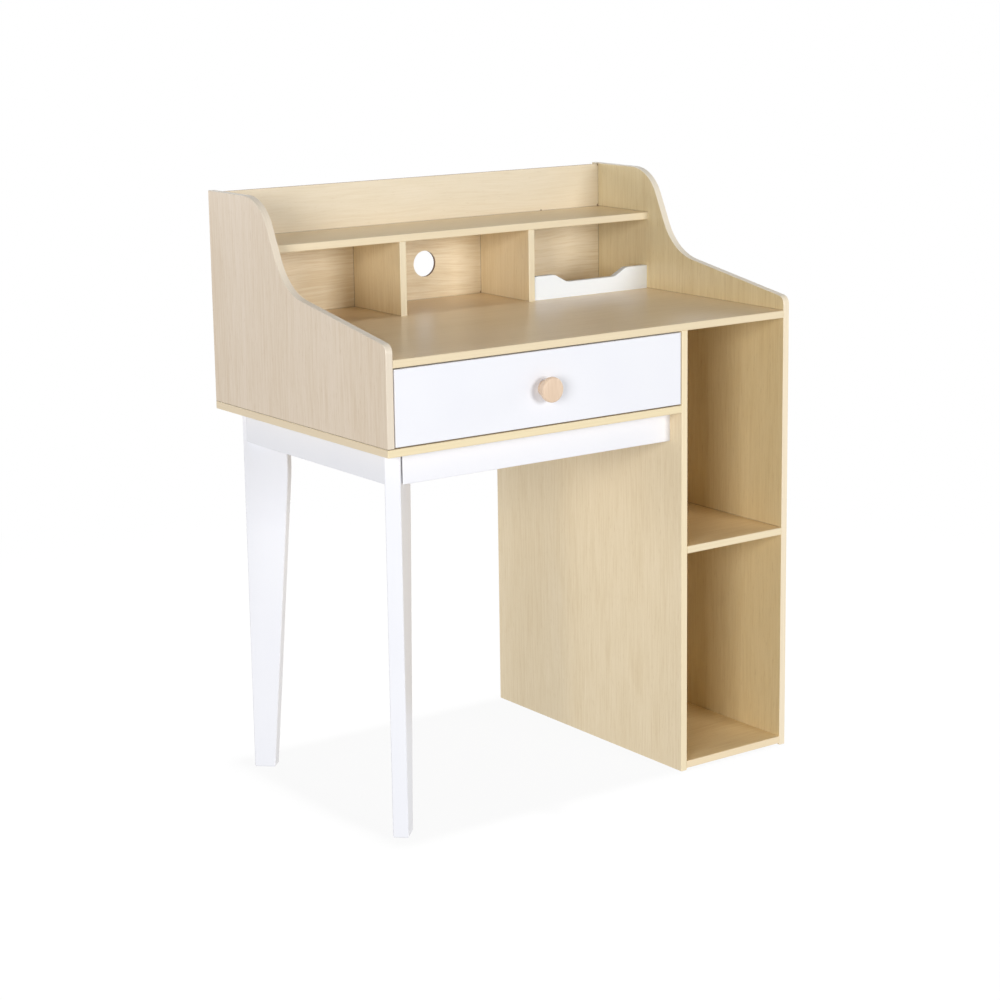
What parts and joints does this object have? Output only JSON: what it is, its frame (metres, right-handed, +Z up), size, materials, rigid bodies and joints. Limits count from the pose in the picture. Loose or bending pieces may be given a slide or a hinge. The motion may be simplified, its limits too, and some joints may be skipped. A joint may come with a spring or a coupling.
{
  "type": "student desk with hutch",
  "caption": "Free-standing desk with an open side cabinet, a drawer on roller runners, and a low hutch of open compartments between S-shaped side panels.",
  "frame": {"origin": "centre of the footprint on the floor", "axes": "+Z up, the drawer opens towards -Y, +X towards the cabinet"},
  "size_m": [0.78, 0.532, 0.948],
  "materials": {
    "wood_grain_board": "light wood-grain melamine on particle board, satin, edges banded a little paler",
    "thin_back_board": "thin fibre board with a wood-grain face, satin",
    "white_lacquer": "white lacquer on board, satin",
    "drawer_box_board": "white-foiled board, matt",
    "turned_knob_wood": "turned light wood under clear lacquer, satin",
    "dowel_wood": "bare beech",
    "runner_steel": "white powder coat on rolled steel",
    "roller_nylon": "moulded nylon, matt",
    "plated_fasteners": "bright zinc plate"
  },
  "bodies": {
    "carcass": {"angle_brackets": "plated_fasteners", "bay_floor_screws": "plated_fasteners", "bin_rail": "white_lacquer", "bracket_screws": "plated_fasteners", "cabinet_back": "thin_back_board", "cabinet_bottom": "wood_grain_board", "cabinet_divider": "wood_grain_board", "cabinet_rivets": "plated_fasteners", "cabinet_runner_left": "runner_steel", "cabinet_runner_right": "runner_steel", "cabinet_runner_screws": "plated_fasteners", "cabinet_shelf": "wood_grain_board", "cam_bolts": "plated_fasteners", "cam_nuts": "plated_fasteners", "desk_top": "wood_grain_board", "dowels": "dowel_wood", "drawer_bay_back": "thin_back_board", "drawer_bay_floor": "wood_grain_board", "front_apron": "white_lacquer", "front_leg": "white_lacquer", "hutch_back": "wood_grain_board", "hutch_divider_left": "wood_grain_board", "hutch_divider_right": "wood_grain_board", "hutch_shelf": "wood_grain_board", "left_side_panel": "wood_grain_board", "rear_apron": "white_lacquer", "rear_leg": "white_lacquer", "right_side_panel": "wood_grain_board", "side_apron": "white_lacquer"},
    "drawer": {"drawer_front": "white_lacquer", "drawer_knob": "turned_knob_wood", "knob_screw": "plated_fasteners", "drawer_runner_left": "runner_steel", "drawer_runner_right": "runner_steel", "drawer_rivets": "plated_fasteners", "drawer_runner_screws": "plated_fasteners", "drawer_screws": "plated_fasteners", "drawer_dowels": "dowel_wood", "drawer_cam_bolts": "plated_fasteners", "drawer_cam_nuts": "plated_fasteners", "drawer_side_left": "drawer_box_board", "drawer_side_right": "drawer_box_board", "drawer_back": "drawer_box_board", "drawer_bottom": "drawer_box_board"},
    "front_roller_left": {"front_roller_left": "roller_nylon"},
    "front_roller_right": {"front_roller_right": "roller_nylon"},
    "rear_roller_left": {"rear_roller_left": "roller_nylon"},
    "rear_roller_right": {"rear_roller_right": "roller_nylon"}
  },
  "joints": [
    {"name": "drawer_slide", "type": "slide", "parent": "carcass", "child": "drawer", "axis": [0, -1, 0], "range_m": [0, 0.25]},
    {"name": "front_roller_left_turn", "type": "hinge", "parent": "carcass", "child": "front_roller_left", "pos_m": [-0.37175, -0.214, 0.6268], "axis": [1, 0, 0], "range_deg": [0, 1687]},
    {"name": "front_roller_right_turn", "type": "hinge", "parent": "carcass", "child": "front_roller_right", "pos_m": [0.15675, -0.214, 0.6268], "axis": [1, 0, 0], "range_deg": [0, 1687]},
    {"name": "rear_roller_left_turn", "type": "hinge", "parent": "drawer", "child": "rear_roller_left", "pos_m": [-0.37175, 0.106, 0.6268], "axis": [1, 0, 0], "range_deg": [0, 1687]},
    {"name": "rear_roller_right_turn", "type": "hinge", "parent": "drawer", "child": "rear_roller_right", "pos_m": [0.15675, 0.106, 0.6268], "axis": [1, 0, 0], "range_deg": [0, 1687]}
  ],
  "couplings": [
    {"joint": "front_roller_left_turn", "follows": "drawer_slide", "rad_per_m": 117.65},
    {"joint": "front_roller_right_turn", "follows": "drawer_slide", "rad_per_m": 117.65},
    {"joint": "rear_roller_left_turn", "follows": "drawer_slide", "rad_per_m": 117.65},
    {"joint": "rear_roller_right_turn", "follows": "drawer_slide", "rad_per_m": 117.65}
  ]
}
